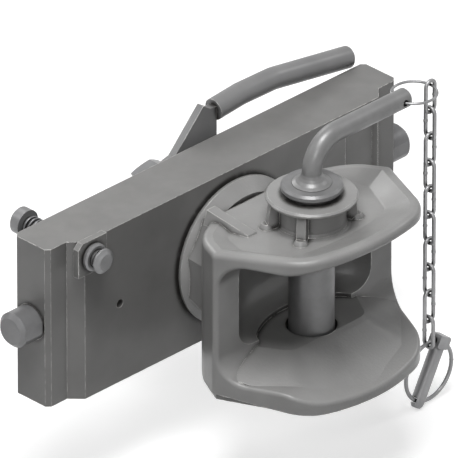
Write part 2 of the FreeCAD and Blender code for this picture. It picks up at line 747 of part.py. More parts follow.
def jaw_mouth():
    """What is open between the upper and the lower jaw."""
    reach = jaw_front() - CUT_PAST
    rise = (MOUTH_LIP - reach) * MOUTH_LIP_RISE
    drop = (MOUTH_LIP - reach) * MOUTH_LIP_DROP
    points = [
        (MOUTH_BACK, MOUTH_FLOOR, MOUTH_R), (MOUTH_BACK, MOUTH_TOP, MOUTH_R),
        (MOUTH_LIP, MOUTH_TOP, MOUTH_LIP_R), (reach, MOUTH_TOP + rise, 0),
        (reach, MOUTH_FLOOR - drop, 0), (MOUTH_LIP, MOUTH_FLOOR, MOUTH_LIP_R),
    ]
    return side_prism(points, 2 * JAW_PLAN[2][0])


def open_jaw():
    """The jaw's outside with its mouth cut through, and the edge round the opening rounded."""
    block = jaw_block()
    mouth = jaw_mouth()
    jaw = block.cut(mouth)
    outside = block.Shells[0]
    inside = mouth.Shells[0]
    rim = []
    for edge in jaw.Edges:
        middle = Part.Vertex(edge.valueAt((edge.FirstParameter + edge.LastParameter) / 2))
        if middle.distToShape(outside)[0] < 1e-4 and middle.distToShape(inside)[0] < 1e-4:
            rim.append(edge)
    return jaw.makeFillet(MOUTH_EDGE_R, rim)


def jaw_throat():
    """The oval hollow behind the pin, with its floor blended into the wall."""
    throat = oval(THROAT_A, THROAT_B, LEDGE_Z, THROAT_TOP)
    floor_edge = [edge for edge in throat.Edges if abs(edge.BoundBox.ZMax - LEDGE_Z) < 0.01]
    return throat.makeFillet(THROAT_FILLET, floor_edge)


def jaw_guide():
    """The lower jaw's raised pad and the faceted slopes that lead the towing eye onto it."""
    pad = mirrored(PAD_PLAN, (0.0, PAD_PLAN[-1][1] - 0.4, 200.0))
    lip = jaw_plan(MOUTH_EDGE_R)
    brow_z = PAD_Z - PAD_CHAMFER * 0.5
    heights = list(GUIDE_LIP_Z) + list(reversed(GUIDE_LIP_Z[:-1]))
    base = []
    for upper, lower, height in zip(pad, lip, heights):
        share = (brow_z - GUIDE_BASE_Z) / (brow_z - height)
        a, b, radius = [u + (w - u) * share for u, w in zip(upper, lower)]
        base.append((a, b, max(radius, 1.0)))
    brow = plan_wire(pad, brow_z)
    top = plan_wire(inset(pad, PAD_CHAMFER), PAD_Z)
    slopes = Part.makeLoft([plan_wire(base, GUIDE_BASE_Z), brow], True, True)
    bound = prism(plan_wire(lip, GUIDE_BASE_Z), V(0, 0, brow_z - GUIDE_BASE_Z))
    crown = Part.makeLoft([brow, top], True, True)
    return slopes.common(bound).fuse(crown)


def jaw_recess():
    """The sunk floor inside the top rim, with its broad sloping walls."""
    floor_plan = mirrored(RECESS_PLAN, front_apex(RECESS_PLAN[-1]))
    floor = plan_wire(floor_plan, RECESS_FLOOR)
    rim = rounded(jaw_plan(RIM_W), lambda a, b: V(a, PIN_Y + b, top_z(b) + 0.01))
    above = rounded(jaw_plan(RIM_W), lambda a, b: V(a, PIN_Y + b, top_z(b) + CUT_PAST))
    walls = Part.makeLoft([floor, rim], True, True)
    edges = [edge for edge in walls.Edges if edge.BoundBox.ZMax < RECESS_FLOOR + 0.01]
    walls = walls.makeFillet(RECESS_FILLET, edges)
    back = JAW_PLAN[0][1]
    gap = box(-RECESS_OPEN, RECESS_OPEN, PIN_Y + back - 2 * RIM_W, PIN_Y + back + CUT_PAST,
              RECESS_FLOOR, RECESS_FLOOR + CUT_PAST)
    return walls.fuse([Part.makeLoft([rim, above], True, True), gap])


def top_rib(side):
    """One of the two ribs that run forward from the neck and die into the recess."""
    back_x = side * TOP_RIB_BACK[0]
    front_x = side * TOP_RIB_FRONT[0]
    floor = RECESS_FLOOR - 1.0
    back_y = PIN_Y + TOP_RIB_BACK[1]
    front_y = PIN_Y + TOP_RIB_FRONT[1]
    half = TOP_RIB_W / 2
    crest = half * TOP_RIB_CREST
    high = RECESS_FLOOR + TOP_RIB_H
    low = RECESS_FLOOR + TOP_RIB_H / 10
    back = [
        V(back_x - half, back_y, floor), V(back_x + half, back_y, floor),
        V(back_x + crest, back_y, high), V(back_x - crest, back_y, high),
    ]
    front = [
        V(front_x - half * 0.7, front_y, floor), V(front_x + half * 0.7, front_y, floor),
        V(front_x + crest, front_y + 2, low), V(front_x - crest, front_y + 2, low),
    ]
    return Part.makeLoft([wire_of(back), wire_of(front)], True, True)


def boss():
    """The pin boss on top, with its flared foot and top disc."""
    floor = RECESS_FLOOR - 1.0
    under = BOSS_TOP - DISC_T
    edge = DISC_T / 3
    points = [
        (0, floor), (BOSS_R + BOSS_FLARE, floor), (BOSS_R + BOSS_FLARE, RECESS_FLOOR),
        (BOSS_R + BOSS_FLARE * 0.3, RECESS_FLOOR + BOSS_FLARE * 0.3), (BOSS_R, RECESS_FLOOR + BOSS_FLARE),
        (BOSS_R, under), (DISC_R - edge, under), (DISC_R, under + edge), (DISC_R, BOSS_TOP - edge),
        (DISC_R - edge, BOSS_TOP), (0, BOSS_TOP),
    ]
    return turned(points, 0, PIN_Y)


def boss_rib(angle):
    """A tapered rib from the top disc down to a rounded foot on the recess floor."""
    floor = RECESS_FLOOR - 1.0
    inner = BOSS_R - 2.0
    half = BOSS_RIB_T / 2
    foot_r = BOSS_RIB_FOOT - BOSS_FOOT_R
    outline = [
        (inner, floor), (foot_r, floor), (foot_r, RECESS_FLOOR + BOSS_FOOT_H),
        (BOSS_RIB_TOP, BOSS_TOP - DISC_T), (inner, BOSS_TOP - DISC_T),
    ]
    rib = prism(wire_of([V(r, -half, z) for r, z in outline]), V(0, BOSS_RIB_T, 0))
    foot = Part.makeCone(BOSS_FOOT_R + 0.8, half, BOSS_FOOT_H + 1.0, V(foot_r, 0, floor), Z_DIR)
    rib = rib.fuse(foot)
    rib.rotate(V(0, 0, 0), Z_DIR, angle)
    rib.translate(V(0, PIN_Y, 0))
    return rib


def neck():
    """The faceted cone from the jaw's back to the swivel flange, with flange and threaded shank."""
    front_y = PIN_Y + JAW_PLAN[0][1] - NECK_SINK
    flange_back = PLATE_FRONT - THRUST_WASHER_T - FACE_GAP
    flange_front = flange_back - FLANGE_T
    right = list(NECK_FRONT)
    left = [(-x, z) for x, z in reversed(right)]
    corners = right + left
    front = wire_of([V(x, front_y, z) for x, z in corners])
    angles = [atan2(z, x) for x, z in corners]
    on_circle = [V(NECK_R * cos(a), flange_front, NECK_R * sin(a)) for a in angles]
    body = Part.makeLoft([front, wire_of(on_circle)], True, True)
    cone_front = flange_front - FLANGE_CONE_L
    flange = turned_y([
        (0, cone_front), (FLANGE_R - 0.8 - FLANGE_CONE_W, cone_front),
        (FLANGE_R - 0.8, flange_front), (FLANGE_R, flange_front + 0.8),
        (FLANGE_R, flange_back - 0.6), (FLANGE_R - 0.6, flange_back), (0, flange_back),
    ])
    shoulder = hub_end() + GAP
    thread_end = shoulder + SWIVEL_WASHER_T + NUT_T + SHANK_END_L
    shank = turned_y([
        (0, flange_back - 1), (SHANK_R, flange_back - 1), (SHANK_R, shoulder), (THREAD_R, shoulder),
        (THREAD_R, thread_end - 2), (THREAD_R - 2, thread_end), (0, thread_end),
    ])
    hole_y = split_pin_y()
    reach = THREAD_R + 5
    hole = rod(SPLIT_PIN_R, V(-reach, hole_y, 0), V(reach, hole_y, 0))
    return body.fuse(flange).fuse(shank).cut(hole)


def split_pin_y():
    """Where the split pin crosses the shank, in the nut's slots."""
    return hub_end() + GAP + SWIVEL_WASHER_T + NUT_T - NUT_SLOT_D / 2


def jaw_casting():
    """The whole cast jaw in one piece with its neck, flange and shank."""
    jaw = open_jaw().cut(jaw_throat())
    jaw = jaw.fuse(jaw_guide())
    jaw = jaw.cut(oval(PAD_OVAL_A, PAD_OVAL_B, PAD_Z, LEDGE_Z + 5))
    jaw = jaw.cut(jaw_recess())
    jaw = jaw.fuse([top_rib(-1), top_rib(1), boss()])
    angles = (BOSS_RIB_ANGLE, 180 - BOSS_RIB_ANGLE, 180 + BOSS_RIB_ANGLE, -BOSS_RIB_ANGLE)
    jaw = jaw.fuse([boss_rib(angle) for angle in angles])
    jaw = jaw.fuse(neck())
    jaw = jaw.cut(rod(PIN_R + RUN, V(0, PIN_Y, 0), V(0, PIN_Y, BOSS_TOP + 1)))
    low = min(z for _, z in JAW_UNDERSIDE) - 5
    jaw = jaw.cut(rod(LOWER_HOLE_R, V(0, PIN_Y, low), V(0, PIN_Y, 0)))
    return jaw


def swivel_washer():
    """The washer under the castle nut."""
    y0 = hub_end() + GAP
    return ring_y(SWIVEL_WASHER_R, THREAD_R, y0, y0 + SWIVEL_WASHER_T)


def castle_nut():
    """The slotted nut that holds the jaw in the carriage."""
    y0 = hub_end() + GAP + SWIVEL_WASHER_T
    corner = NUT_AF / 2 / cos(radians(30))
    angles = [radians(30 + 60 * i) for i in range(6)]
    points = [V(corner * cos(a), y0, corner * sin(a)) for a in angles]
    nut = prism(wire_of(points), V(0, NUT_T, 0))
    chamfer = corner - NUT_AF / 2
    cover = turned_y([(0, y0), (NUT_AF / 2 + chamfer, y0), (NUT_AF / 2 + chamfer, y0 + NUT_T - chamfer),
                      (NUT_AF / 2, y0 + NUT_T), (0, y0 + NUT_T)])
    nut = nut.common(cover).cut(rod(THREAD_R, V(0, y0 - 1, 0), V(0, y0 + NUT_T + 1, 0)))
    half = NUT_SLOT_W / 2
    for i in range(3):
        slot = box(-corner - 1, corner + 1, y0 + NUT_T - NUT_SLOT_D, y0 + NUT_T + 1, -half, half)
        slot.rotate(V(0, 0, 0), Y_DIR, 60 * i)
        nut = nut.cut(slot)
    return nut


def split_pin():
    """The split pin through the shank and the nut's slots: eye at one end, legs bent at the other."""
    y = split_pin_y()
    reach = NUT_AF / 2 + 4
    pin = rod(SPLIT_PIN_R, V(-reach, y, 0), V(reach, y, 0))
    eye = wire_ring(SPLIT_PIN_R * 1.8, SPLIT_PIN_R * 0.8, V(reach + SPLIT_PIN_R * 1.6, y, 0), X_DIR, Y_DIR)
    leg = box(-reach - 0.1, -reach + SPLIT_PIN_R, y, y + SPLIT_LEG_L, -SPLIT_PIN_R * 0.7, SPLIT_PIN_R * 0.7)
    return pin.fuse([eye, leg])


def coupling_pin():
    """The drop pin with its collar; the handle's foot sits in a socket in its top."""
    neck_z = BOSS_TOP + FACE_GAP
    collar = neck_z + COLLAR_NECK
    top = collar + COLLAR_T
    c = COLLAR_ROUND
    points = [
        (0, PIN_BOTTOM), (PIN_R - PIN_CHAMFER, PIN_BOTTOM), (PIN_R, PIN_BOTTOM + PIN_CHAMFER),
        (PIN_R, neck_z), (COLLAR_NECK_R, neck_z), (COLLAR_NECK_R, collar), (COLLAR_R - c, collar),
        (COLLAR_R, collar + c), (COLLAR_R, top - c), (COLLAR_R - c, top), (HANDLE_SOCKET_R, top),
        (HANDLE_SOCKET_R, top - HANDLE_SOCKET_L), (0, top - HANDLE_SOCKET_L),
    ]
    pin = turned(points, 0, PIN_Y)
    cross = rod(PIN_CROSS_R, V(-PIN_R - 1, PIN_Y, PIN_CROSS_Z), V(PIN_R + 1, PIN_Y, PIN_CROSS_Z))
    return pin.cut(cross)


def pin_handle():
    """The bent handle rod with its flared foot, spigot and cross hole for the ring."""
    top = BOSS_TOP + FACE_GAP + COLLAR_NECK + COLLAR_T
    foot = top + FACE_GAP
    cone_top = foot + HANDLE_CONE_H
    lift = cone_top - foot
    spigot = HANDLE_SOCKET_R - RUN
    points = [
        (0, top - HANDLE_SOCKET_L + GAP), (spigot, top - HANDLE_SOCKET_L + GAP), (spigot, foot),
        (HANDLE_CONE_R, foot), (HANDLE_CONE_R - HANDLE_CONE_STEPS[0], foot + lift * 0.16),
        (HANDLE_CONE_R - HANDLE_CONE_STEPS[1], foot + lift * 0.42),
        (HANDLE_CONE_R - HANDLE_CONE_STEPS[2], foot + lift * 0.7),
        (HANDLE_R, cone_top), (0, cone_top),
    ]
    cone = turned(points, 0, PIN_Y)
    stations = [
        (V(0, PIN_Y, cone_top - 0.5), 0), (V(0, PIN_Y, HANDLE_Z), HANDLE_BEND_R - 0.6),
        (V(HANDLE_END_X, PIN_Y, HANDLE_Z), 0),
    ]
    bar = bent_bar(HANDLE_R, stations)
    rim = [edge for edge in bar.Edges if abs(edge.CenterOfMass.x - HANDLE_END_X) < 0.01]
    bar = bar.makeChamfer(HANDLE_END_CHAMFER, rim[:1])
    reach = HANDLE_R + 1
    sagitta = RING_R - sqrt(RING_R ** 2 - HANDLE_R ** 2)
    hole_x = HANDLE_HOLE_X + sagitta / 2
    hole = rod(HANDLE_HOLE_R, V(hole_x, PIN_Y - reach, HANDLE_Z), V(hole_x, PIN_Y + reach, HANDLE_Z))
    return cone.fuse(bar).cut(hole)


def handle_ring():
    """The wire ring through the handle's cross hole."""
    centre = V(HANDLE_HOLE_X + RING_R, PIN_Y, HANDLE_Z)
    return wire_ring(RING_R, RING_WIRE_R, centre, X_DIR, Y_DIR)


def chain_top():
    """Where the first link's upper wire crosses over the handle ring."""
    return V(HANDLE_HOLE_X + 2 * RING_R, PIN_Y, HANDLE_Z + RING_WIRE_R + LINK_WIRE_R + GAP)


def chain_link(index):
    """One welded link; odd and even links stand across each other."""
    inner_length = LINK_PITCH + GAP
    straight = inner_length + 2 * LINK_WIRE_R - 2 * LINK_HALF_W
    side = X_DIR if index % 2 == 0 else Y_DIR
    upper = chain_top().sub(V(0, 0, LINK_PITCH * index + LINK_HALF_W))
    lower = upper.sub(V(0, 0, straight))
    path = arc_points(upper, LINK_HALF_W, side, Z_DIR, 0.0, 180.0, LINK_STEPS)
    path += arc_points(lower, LINK_HALF_W, side, Z_DIR, 180.0, 360.0, LINK_STEPS)
    return wire_bar(LINK_WIRE_R, path, side.cross(Z_DIR), True)


def linch_centre():
    """The linch ring's centre, where it hangs in the last link."""
    last = chain_top().z - LINK_PITCH * (LINK_COUNT - 1)
    wire_z = last - (LINK_PITCH + GAP + 2 * LINK_WIRE_R)
    top = wire_z + LINK_WIRE_R + LINCH_WIRE_R + GAP
    return V(chain_top().x, PIN_Y, top - LINCH_RING_R)


def linch_ring():
    """The spring ring that snaps over the linch pin's tip."""
    return wire_ring(LINCH_RING_R, LINCH_WIRE_R, linch_centre(), X_DIR, Z_DIR)


def linch_pin():
    """The linch pin across the ring: pierced head, body, and a tip notched for the ring."""
    centre = linch_centre()
    head = LINCH_RING_R
    tip = -LINCH_RING_R - LINCH_TIP_PAST
    low = tip + 2.0
    points = [
        (0, tip), (LINCH_R - 1.6, tip), (LINCH_R - 0.4, low), (LINCH_R, low + 3.0),
        (LINCH_R, head - LINCH_HEAD_H / 2), (0, head - LINCH_HEAD_H / 2),
    ]
    wire = wire_of([V(r, 0, z) for r, z in points])
    body = Part.Face(wire).revolve(V(0, 0, 0), Z_DIR, 360)
    half_w = LINCH_HEAD_W / 2
    half_t = LINCH_HEAD_T / 2
    block = box(-half_w, half_w, -half_t, half_t, head - LINCH_HEAD_H / 2, head + LINCH_HEAD_H / 2)
    upright = [edge for edge in block.Edges if abs(edge.tangentAt(edge.FirstParameter).y) > 0.99]
    block = block.makeChamfer(1.4, upright)
    pin = body.fuse(block)
    pin = pin.cut(rod(LINCH_HOLE_R, V(-half_w - 1, 0, head), V(half_w + 1, 0, head)))
    notch = LINCH_WIRE_R + GAP + 0.3
    seat = -LINCH_RING_R
    pin = pin.cut(box(-LINCH_R - 2, LINCH_R + 2, -notch, LINCH_R + 2, seat - notch, seat + notch))
    pin.rotate(V(0, 0, 0), Y_DIR, LINCH_TILT)
    pin.translate(centre)
    return pin


def save(name, shape):
    """Writes one piece, and says what it holds."""
    shape.exportStep(os.path.join("parts", name + ".step"))
    print(name, "solids", len(shape.Solids), "valid", shape.isValid(), "volume", round(shape.Volume, 1))


def main():
    os.makedirs("parts", exist_ok=True)
    save("carrier_plate", carrier_plate())
    for name, side in (("left", -1), ("right", 1)):
        save("locking_bolt_" + name, locking_bolt(side))
        save("drive_pin_" + name, drive_pin(side))
        save("spring_seat_" + name, spring_seat(side))
        save("bolt_spring_" + name, bolt_spring(side))
    save("clamp_plate", clamp_plate())
    save("pull_guide", pull_guide())
    save("pull_knob", pull_knob())
    save("pull_cap", pull_cap())
    save("pull_spring", pull_spring())
    save("front_bush", swivel_bush(PLATE_FRONT, PLATE_FRONT + BUSH_L))
    save("rear_bush", swivel_bush(-HUB_SPIGOT_L - BUSH_L, -HUB_SPIGOT_L))
    save("thrust_washer", thrust_washer())
    save("lever_hub", lever_hub())
    save("lever_circlip", lever_circlip())
    save("release_lever", release_lever())
    save("lever_bar", lever_bar())
    save("jaw_casting", jaw_casting())
    save("swivel_washer", swivel_washer())
    save("castle_nut", castle_nut())
    save("split_pin", split_pin())
    save("coupling_pin", coupling_pin())
    save("pin_handle", pin_handle())
    save("handle_ring", handle_ring())
    for index in range(LINK_COUNT):
        save("chain_link_%02d" % (index + 1), chain_link(index))
    save("linch_ring", linch_ring())
    save("linch_pin", linch_pin())


main()
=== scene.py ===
import json
import math

import bpy
from mathutils import Matrix, Vector


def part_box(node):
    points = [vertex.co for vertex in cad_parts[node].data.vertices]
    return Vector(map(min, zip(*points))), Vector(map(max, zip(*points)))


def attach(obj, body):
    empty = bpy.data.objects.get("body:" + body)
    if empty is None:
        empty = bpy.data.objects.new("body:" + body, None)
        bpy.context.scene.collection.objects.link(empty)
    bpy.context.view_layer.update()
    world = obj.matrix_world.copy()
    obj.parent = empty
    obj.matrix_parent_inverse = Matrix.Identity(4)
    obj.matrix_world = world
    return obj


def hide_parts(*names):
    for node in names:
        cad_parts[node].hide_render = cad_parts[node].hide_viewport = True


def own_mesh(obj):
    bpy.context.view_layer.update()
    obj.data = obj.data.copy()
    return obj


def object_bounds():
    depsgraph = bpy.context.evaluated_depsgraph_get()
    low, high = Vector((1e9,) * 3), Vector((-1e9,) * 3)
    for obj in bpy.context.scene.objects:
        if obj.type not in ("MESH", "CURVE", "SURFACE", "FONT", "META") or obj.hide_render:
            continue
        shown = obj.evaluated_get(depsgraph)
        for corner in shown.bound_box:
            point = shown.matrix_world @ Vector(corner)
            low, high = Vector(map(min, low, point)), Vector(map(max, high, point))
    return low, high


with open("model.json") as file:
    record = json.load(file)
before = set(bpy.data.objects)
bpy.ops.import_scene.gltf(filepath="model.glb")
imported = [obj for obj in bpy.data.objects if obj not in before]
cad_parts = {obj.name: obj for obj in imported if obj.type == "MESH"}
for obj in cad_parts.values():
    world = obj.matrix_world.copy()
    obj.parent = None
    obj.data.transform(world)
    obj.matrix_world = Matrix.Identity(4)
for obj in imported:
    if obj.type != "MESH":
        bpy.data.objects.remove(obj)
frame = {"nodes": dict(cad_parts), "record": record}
bounds_at_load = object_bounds()

MM = 0.001

# Camera: the photograph's parallel view, met by a very long lens
VIEW_ELEVATION = math.radians(29.75)
VIEW_AZIMUTH = math.radians(-45.0)
LENS = 1500.0
SENSOR = 36.0
FRAME_WIDTH = 304.5 * MM
AIM = Vector((-22.95, -60.0, 31.2)) * MM

# Size taken over from the part's source
SHANK_THREAD_R = 20.0 * MM

# Chain, rings and springs
ROUND_WIRE = 20          # sides of a round wire's section
RING_STEPS = 96
LINK_CORNER_STEPS = 14
COIL_STEPS_PER_TURN = 48
SPRING_TURNS = 4.0
PULL_SPRING_WIRE_R = 0.9 * MM
BOLT_SPRING_WIRE_R = 1.0 * MM
LINK_WELD_SWELL = 1.22   # the butt weld's radius in wire radii
LINK_WELD_LENGTH = 1.5   # in wire radii
RING_WELD_SWELL = 1.12
RING_WELD_LENGTH = 1.4
WELD_SEGMENTS = 16
WELD_RINGS = 10
COIL_SIDES = 12
LINK_BEND_SHARE = 0.499  # the bend's radius as a share of the link's width, a hair under a half

# Shank thread past the nut
THREAD_PITCH = 1.5 * MM
THREAD_RIDGE_R = 0.45 * MM

# Light: strengths at which a colour on an upturned face renders about as it is written
SKY = 0.08
SEEN_WHITE = 1.0
FLOOR_SEEN = 0.70        # the seen floor's own colour, which keeps the object's shadow
FLOOR_GLOW = 0.60        # added to the seen floor alone, so that it comes out white
FLOOR_BOUNCE = 0.12      # what the floor throws back at the object
FLOOR_WIDTH = 60.0
FLOOR_DROP = 0.5 * MM    # the floor's place under the lowest point of the hitch
LAMPS = (                # name, place, watts, width
    ("overhead", (-0.5, -0.45, 1.85), 33.0, 0.9),
    ("front", (-1.3, -1.3, 0.95), 6.5, 0.5),
    ("right_edge", (1.6, -0.5, 1.2), 4.0, 0.4),
    ("left_edge", (-1.15, 1.4, 1.4), 4.0, 0.5),
    ("back", (0.5, 1.7, 1.2), 8.0, 0.8),
)

# Finish
# Painted shade: the dark colour laid into inner corners, where shade falls
PAINTED_SHADE_COLOUR = (0.035, 0.033, 0.031)
DUST_COLOUR = (0.52, 0.50, 0.46)
DUST_AMOUNT = 0.05
RUBBED_STEEL = (0.62, 0.61, 0.59)
RUBBED_ROUGHNESS = 0.33
RUBBED_METALLIC = 0.8
RUBBED_LIGHTER = 1.25    # a bare metal's rubbed edge against its own colour
MOTTLED_PAINT = 0.08     # added roughness where paint is mottled
MOTTLED_METAL = 0.1
METAL_BUMP = 0.02 * MM
METAL_WEAR_WIDTH = 0.5 * MM
# how far the painted shade in inner corners reaches on bare metal
METAL_PAINTED_SHADE_REACH = 2.0 * MM
METAL_GRAIN_SCALE = 1500.0
METAL_MOTTLE_SCALE = 70.0
BEVEL_SAMPLES = 6
# samples of the occlusion that places the painted shade
PAINTED_SHADE_SAMPLES = 8


def span(node):
    """Centre and size of a part at rest."""
    low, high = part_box(node)
    return (low + high) / 2, high - low


# Shader groups

def new_group(name, inputs, outputs):
    """An empty shader group with its sockets; gives the tree and its two end nodes."""
    tree = bpy.data.node_groups.new(name, "ShaderNodeTree")
    for label, kind, value in inputs:
        socket = tree.interface.new_socket(label, in_out="INPUT", socket_type=kind)
        socket.default_value = value
    for label, kind in outputs:
        tree.interface.new_socket(label, in_out="OUTPUT", socket_type=kind)
    start = tree.nodes.new("NodeGroupInput")
    end = tree.nodes.new("NodeGroupOutput")
    return tree, start, end


def noise(tree, place, scale, detail, rough=0.5):
    """A noise on object coordinates; scale may be a number or a socket."""
    node = tree.nodes.new("ShaderNodeTexNoise")
    node.inputs["Detail"].default_value = detail
    node.inputs["Roughness"].default_value = rough
    tree.links.new(place, node.inputs["Vector"])
    if isinstance(scale, (int, float)):
        node.inputs["Scale"].default_value = scale
    else:
        tree.links.new(scale, node.inputs["Scale"])
    return node.outputs["Fac"]


def ramp(tree, value, low, high):
    """A smooth step of a value from 0 at low to 1 at high."""
    node = tree.nodes.new("ShaderNodeMapRange")
    node.interpolation_type = "SMOOTHSTEP"
    node.inputs["From Min"].default_value = low
    node.inputs["From Max"].default_value = high
    tree.links.new(value, node.inputs["Value"])
    return node.outputs["Result"]


def math_node(tree, operation, first, second):
    """A maths node; each side is a number or a socket."""
    node = tree.nodes.new("ShaderNodeMath")
    node.operation = operation
    for socket, value in zip(node.inputs, (first, second)):
        if isinstance(value, (int, float)):
            socket.default_value = value
        else:
            tree.links.new(value, socket)
    return node.outputs[0]


def edge_wear_group():
    """How worn a spot is: 1 on sharp outer edges, broken up by noise."""
    tree, start, end = new_group(
        "edge_wear",
        [("Width", "NodeSocketFloat", 0.8 * MM), ("Round", "NodeSocketFloat", 0.25 * MM),
         ("Breakup", "NodeSocketFloat", 220.0)],
        [("Mask", "NodeSocketFloat"), ("Normal", "NodeSocketVector")],
    )
    place = tree.nodes.new("ShaderNodeTexCoord").outputs["Object"]
    wide, narrow = [tree.nodes.new("ShaderNodeBevel") for _ in range(2)]
    for bevel, label in ((wide, "Width"), (narrow, "Round")):
        bevel.samples = BEVEL_SAMPLES
        tree.links.new(start.outputs[label], bevel.inputs["Radius"])
    facing = tree.nodes.new("ShaderNodeNewGeometry")
    match = tree.nodes.new("ShaderNodeVectorMath")
    match.operation = "DOT_PRODUCT"
    tree.links.new(wide.outputs["Normal"], match.inputs[0])
    tree.links.new(facing.outputs["Normal"], match.inputs[1])
    turned = math_node(tree, "SUBTRACT", 1.0, match.outputs["Value"])
    spots = noise(tree, place, start.outputs["Breakup"], 4.0)
    broken = math_node(tree, "MULTIPLY", ramp(tree, turned, 0.02, 0.14), ramp(tree, spots, 0.30, 0.60))
    tree.links.new(broken, end.inputs["Mask"])
    tree.links.new(narrow.outputs["Normal"], end.inputs["Normal"])
    return tree


def grain_group():
    """Cast or rolled skin: a height for bumps and a slow mottling."""
    tree, start, end = new_group(
        "grain",
        [("Scale", "NodeSocketFloat", 900.0), ("Mottle Scale", "NodeSocketFloat", 28.0)],
        [("Height", "NodeSocketFloat"), ("Mottle", "NodeSocketFloat")],
    )
    place = tree.nodes.new("ShaderNodeTexCoord").outputs["Object"]
    fine = noise(tree, place, start.outputs["Scale"], 5.0, 0.6)
    slow = noise(tree, place, start.outputs["Mottle Scale"], 3.0)
    tree.links.new(fine, end.inputs["Height"])
    tree.links.new(ramp(tree, slow, 0.3, 0.7), end.inputs["Mottle"])
    return tree


def painted_shade_group():
    """Painted shade in inner corners, where shade falls: 1 where a spot is closed in within a short reach.
    """
    tree, start, end = new_group(
        "painted_shade",
        [("Reach", "NodeSocketFloat", 5.0 * MM), ("Breakup", "NodeSocketFloat", 160.0)],
        [("Mask", "NodeSocketFloat")],
    )
    place = tree.nodes.new("ShaderNodeTexCoord").outputs["Object"]
    hidden = tree.nodes.new("ShaderNodeAmbientOcclusion")
    hidden.samples = PAINTED_SHADE_SAMPLES
    tree.links.new(start.outputs["Reach"], hidden.inputs["Distance"])
    closed = ramp(tree, math_node(tree, "SUBTRACT", 1.0, hidden.outputs["AO"]), 0.04, 0.38)
    spots = ramp(tree, noise(tree, place, start.outputs["Breakup"], 4.0), 0.0, 0.50)
    tree.links.new(math_node(tree, "MULTIPLY", closed, spots), end.inputs["Mask"])
    return tree


def dust_group():
    """Workshop dust that settles on faces that look up."""
    tree, start, end = new_group(
        "dust",
        [("Amount", "NodeSocketFloat", 0.2), ("Scale", "NodeSocketFloat", 60.0)],
        [("Mask", "NodeSocketFloat")],
    )
    place = tree.nodes.new("ShaderNodeTexCoord").outputs["Object"]
    facing = tree.nodes.new("ShaderNodeNewGeometry")
    split = tree.nodes.new("ShaderNodeSeparateXYZ")
    tree.links.new(facing.outputs["Normal"], split.inputs[0])
    up = ramp(tree, split.outputs["Z"], 0.5, 1.0)
    patches = ramp(tree, noise(tree, place, start.outputs["Scale"], 6.0, 0.65), 0.35, 0.75)
    both = math_node(tree, "MULTIPLY", up, patches)
    tree.links.new(math_node(tree, "MULTIPLY", both, start.outputs["Amount"]), end.inputs["Mask"])
    return tree


def turning_marks_group():
    """Fine rings left by the lathe or by drawing, across one axis."""
    tree, start, end = new_group(
        "turning_marks",
        [("Axis", "NodeSocketVector", (0.0, 0.0, 1.0)), ("Scale", "NodeSocketFloat", 2400.0)],
        [("Height", "NodeSocketFloat")],
    )
    place = tree.nodes.new("ShaderNodeTexCoord").outputs["Object"]
    along = tree.nodes.new("ShaderNodeVectorMath")
    along.operation = "DOT_PRODUCT"
    tree.links.new(place, along.inputs[0])
    tree.links.new(start.outputs["Axis"], along.inputs[1])
    line = tree.nodes.new("ShaderNodeTexNoise")
    line.noise_dimensions = "1D"
    line.inputs["Detail"].default_value = 3.0
    tree.links.new(along.outputs["Value"], line.inputs["W"])
    tree.links.new(start.outputs["Scale"], line.inputs["Scale"])
    tree.links.new(line.outputs["Fac"], end.inputs["Height"])
    return tree


EDGE_WEAR = edge_wear_group()
GRAIN = grain_group()
PAINTED_SHADE = painted_shade_group()
DUST = dust_group()
TURNING_MARKS = turning_marks_group()


def use_group(tree, group, **values):
    """A group placed in a material, with its own values."""
    node = tree.nodes.new("ShaderNodeGroup")
    node.node_tree = group
    for label, value in values.items():
        node.inputs[label.replace("_", " ")].default_value = value
    return node


def blend_colour(tree, share, first, second):
    """One colour laid over another by a mask; each is a colour or a socket."""
    node = tree.nodes.new("ShaderNodeMix")
    node.data_type = "RGBA"
    tree.links.new(share, node.inputs["Factor"])
    for label, value in (("A", first), ("B", second)):
        socket = next(s for s in node.inputs if s.name == label and s.type == "RGBA")
        if isinstance(value, tuple):
            socket.default_value = (*value, 1.0)
        else:
            tree.links.new(value, socket)
    return next(s for s in node.outputs if s.type == "RGBA")


def blend_value(tree, share, first, second):
    """One number turned into another by a mask."""
    node = tree.nodes.new("ShaderNodeMix")
    tree.links.new(share, node.inputs[0])
    for socket, value in ((node.inputs[2], first), (node.inputs[3], second)):
        if isinstance(value, (int, float)):
            socket.default_value = value
        else:
            tree.links.new(value, socket)
    return node.outputs[0]


def shader_of(material):
    return next(n for n in material.node_tree.nodes if n.type == "BSDF_PRINCIPLED")


def add_relief(tree, shader, height, depth, edges):
    """Fine bumps laid over the softened edges."""
    relief = tree.nodes.new("ShaderNodeBump")
    relief.inputs["Strength"].default_value = 1.0
    relief.inputs["Distance"].default_value = depth
    tree.links.new(height, relief.inputs["Height"])
    tree.links.new(edges, relief.inputs["Normal"])
    tree.links.new(relief.outputs["Normal"], shader.inputs["Normal"])


